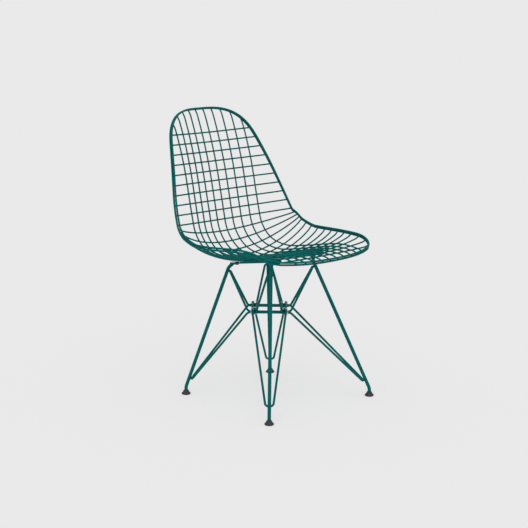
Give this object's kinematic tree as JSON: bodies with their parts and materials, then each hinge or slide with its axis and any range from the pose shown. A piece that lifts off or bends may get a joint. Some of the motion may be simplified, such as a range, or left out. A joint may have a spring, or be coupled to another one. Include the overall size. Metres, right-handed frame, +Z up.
{
  "type": "wire mesh chair",
  "caption": "Side chair with a dished shell of welded wire grid on four slanting rod legs braced by crossing bent-wire rings, with black disc glides.",
  "frame": {"origin": "on the floor under the middle of the chair's box", "axes": "+Z up, the seat's front toward -Y, +X to the sitter's left"},
  "size_m": [0.496, 0.5748, 0.8317],
  "materials": {
    "teal_paint": "satin powder coat",
    "black_plastic": "matte moulded",
    "black_rubber": "matte",
    "black_screw": "black coated",
    "bright_wire": "bright spring wire"
  },
  "bodies": {
    "root": {"cross_wire_01": "teal_paint", "cross_wire_02": "teal_paint", "cross_wire_03": "teal_paint", "cross_wire_04": "teal_paint", "cross_wire_05": "teal_paint", "cross_wire_06": "teal_paint", "cross_wire_07": "teal_paint", "cross_wire_08": "teal_paint", "cross_wire_09": "teal_paint", "cross_wire_10": "teal_paint", "cross_wire_11": "teal_paint", "cross_wire_12": "teal_paint", "cross_wire_13": "teal_paint", "cross_wire_14": "teal_paint", "cross_wire_15": "teal_paint", "cross_wire_16": "teal_paint", "cross_wire_17": "teal_paint", "cross_wire_18": "teal_paint", "cross_wire_19": "teal_paint", "cross_wire_20": "teal_paint", "cross_wire_21": "teal_paint", "cross_wire_22": "teal_paint", "cross_wire_23": "teal_paint", "cross_wire_24": "teal_paint", "cross_wire_25": "teal_paint", "crossing_clips": "bright_wire", "crossing_plugs": "black_rubber", "glide_front_left": "black_plastic", "glide_front_right": "black_plastic", "glide_rear_left": "black_plastic", "glide_rear_right": "black_plastic", "leg_front_left": "teal_paint", "leg_front_right": "teal_paint", "leg_rear_left": "teal_paint", "leg_rear_right": "teal_paint", "longitudinal_wire_01": "teal_paint", "longitudinal_wire_02": "teal_paint", "longitudinal_wire_03": "teal_paint", "longitudinal_wire_04": "teal_paint", "longitudinal_wire_05": "teal_paint", "longitudinal_wire_06": "teal_paint", "longitudinal_wire_07": "teal_paint", "longitudinal_wire_08": "teal_paint", "longitudinal_wire_09": "teal_paint", "longitudinal_wire_10": "teal_paint", "lower_brace_front_left": "teal_paint", "lower_brace_front_right": "teal_paint", "lower_rim_wire": "teal_paint", "mounting_rail_left": "teal_paint", "mounting_rail_right": "teal_paint", "mounting_screws": "black_screw", "rubber_washers": "black_rubber", "shell_mounting_plates": "teal_paint", "upper_brace_front_left": "teal_paint", "upper_brace_front_right": "teal_paint", "upper_rim_wire": "teal_paint"}
  },
  "joints": []
}
